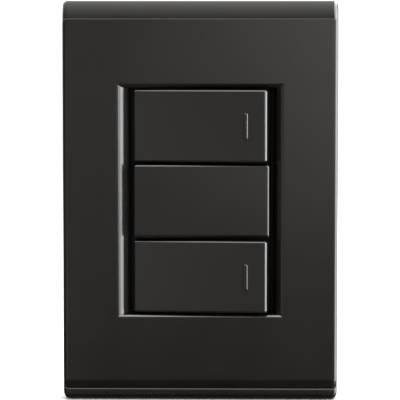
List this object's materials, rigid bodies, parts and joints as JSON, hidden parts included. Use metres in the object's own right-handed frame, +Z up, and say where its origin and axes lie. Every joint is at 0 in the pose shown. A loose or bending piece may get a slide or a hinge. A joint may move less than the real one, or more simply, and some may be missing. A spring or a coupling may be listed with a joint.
{
  "type": "wall switch plate",
  "caption": "Black wall plate on a support frame, with rocker switches above and below a blank module in one window.",
  "frame": {"origin": "middle of the wall plane, half way between the two box screws", "axes": "+X right seen from the front, +Y into the wall, +Z up; the front faces -Y"},
  "size_m": [0.082, 0.0362, 0.119],
  "materials": {
    "satin_black": "satin black moulded plastic",
    "frame_black": "matt black moulded plastic",
    "body_grey": "matt near-black grey moulded plastic",
    "base_grey": "matt dark grey moulded plastic",
    "pin_white": "natural white low-friction plastic",
    "brass": "plain brass, stamped and drilled",
    "blade_copper": "rolled copper alloy strip",
    "silver": "silver contact metal",
    "zinc": "zinc plated steel",
    "spring_steel": "drawn spring wire"
  },
  "bodies": {
    "wall_support": {"support_frame": "frame_black", "box_screws": "zinc", "blank_insert": "satin_black", "upper_housing": "body_grey", "upper_base": "base_grey", "upper_common_terminal": "brass", "upper_load_terminal": "brass", "upper_fixed_contact": "silver", "upper_terminal_screws": "zinc", "lower_housing": "body_grey", "lower_base": "base_grey", "lower_common_terminal": "brass", "lower_load_terminal": "brass", "lower_fixed_contact": "silver", "lower_terminal_screws": "zinc"},
    "cover": {"cover_plate": "satin_black"},
    "upper_rocker": {"upper_key": "satin_black", "upper_plunger_spring": "spring_steel"},
    "upper_blade": {"upper_contact_blade": "blade_copper", "upper_moving_contact": "silver"},
    "upper_pin": {"upper_plunger": "pin_white"},
    "lower_rocker": {"lower_key": "satin_black", "lower_plunger_spring": "spring_steel"},
    "lower_blade": {"lower_contact_blade": "blade_copper", "lower_moving_contact": "silver"},
    "lower_pin": {"lower_plunger": "pin_white"}
  },
  "joints": [
    {"name": "cover_pull", "type": "slide", "parent": "wall_support", "child": "cover", "axis": [0, -1, 0], "range_m": [0, 0.02]},
    {"name": "upper_key_rock", "type": "hinge", "parent": "wall_support", "child": "upper_rocker", "pos_m": [0, -0.0052, 0.0225], "axis": [0, 0, 1], "range_deg": [0, 9]},
    {"name": "upper_blade_rock", "type": "hinge", "parent": "wall_support", "child": "upper_blade", "pos_m": [0, 0.0076, 0.0225], "axis": [0, 0, 1], "range_deg": [-16, 0]},
    {"name": "upper_plunger_slide", "type": "slide", "parent": "upper_rocker", "child": "upper_pin", "axis": [-0.0785, -0.9969, 0], "range_m": [0, 0.001], "stiffness_N_per_m": 600, "deforming": ["upper_plunger_spring"]},
    {"name": "lower_key_rock", "type": "hinge", "parent": "wall_support", "child": "lower_rocker", "pos_m": [0, -0.0052, -0.0225], "axis": [0, 0, 1], "range_deg": [0, 9]},
    {"name": "lower_blade_rock", "type": "hinge", "parent": "wall_support", "child": "lower_blade", "pos_m": [0, 0.0076, -0.0225], "axis": [0, 0, 1], "range_deg": [-16, 0]},
    {"name": "lower_plunger_slide", "type": "slide", "parent": "lower_rocker", "child": "lower_pin", "axis": [-0.0785, -0.9969, 0], "range_m": [0, 0.001], "stiffness_N_per_m": 600, "deforming": ["lower_plunger_spring"]}
  ],
  "couplings": [
    {"joint": "upper_blade_rock", "follows": "upper_key_rock", "ratio": -1.7778},
    {"joint": "lower_blade_rock", "follows": "lower_key_rock", "ratio": -1.7778}
  ]
}
